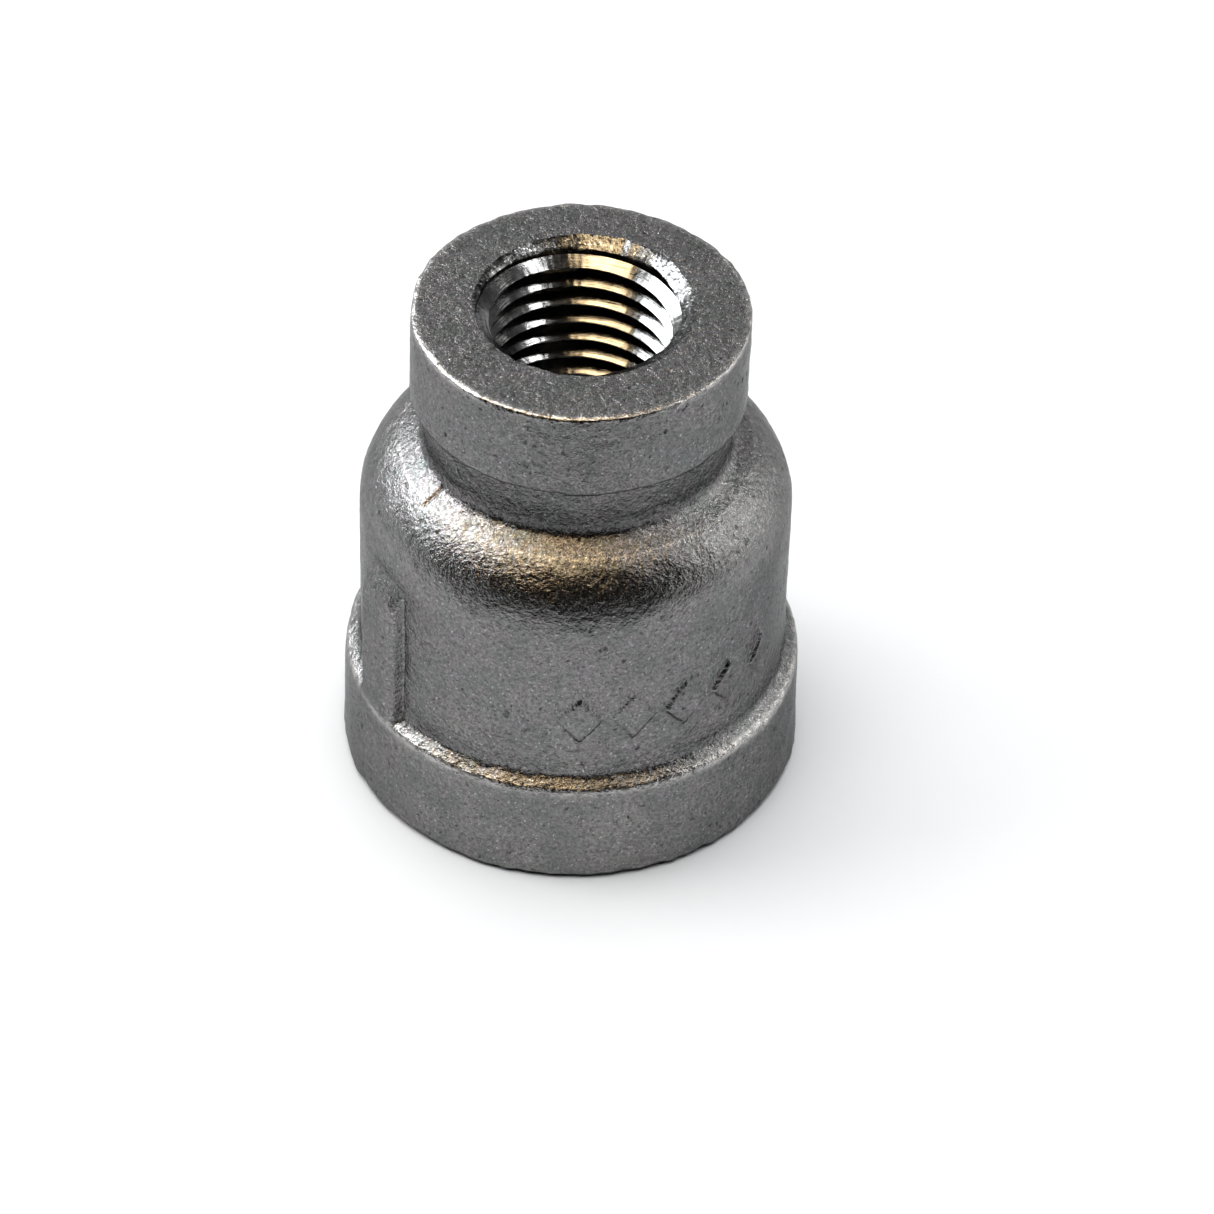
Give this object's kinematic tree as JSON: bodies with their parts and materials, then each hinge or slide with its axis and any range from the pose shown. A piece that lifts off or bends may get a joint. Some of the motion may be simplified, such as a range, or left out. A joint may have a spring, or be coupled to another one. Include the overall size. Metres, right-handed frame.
{
  "type": "pipe reducing coupling",
  "caption": "Banded reducing coupling that joins a larger and a smaller threaded pipe on one axis, with a round shoulder, a neck and a collar.",
  "frame": {"origin": "centre of the large end face, which the coupling stands on", "axes": "+Z along the pipe axis from the large end to the small end; -Y is the side seen in front, and the left wrench rib is on the -X side"},
  "size_m": [0.0294, 0.0294, 0.0345],
  "materials": {
    "cast_skin": "matte grainy skin of a blasted stainless investment casting",
    "machined_thread": "bright machined countersink and thread with turning marks"
  },
  "bodies": {
    "root": {"large_end_band": "cast_skin", "barrel": "cast_skin", "wrench_rib_left": "cast_skin", "wrench_rib_right": "cast_skin", "shoulder": "cast_skin", "neck": "cast_skin", "small_end_collar": "cast_skin", "large_end_thread": "machined_thread", "small_end_thread": "machined_thread"}
  },
  "joints": []
}
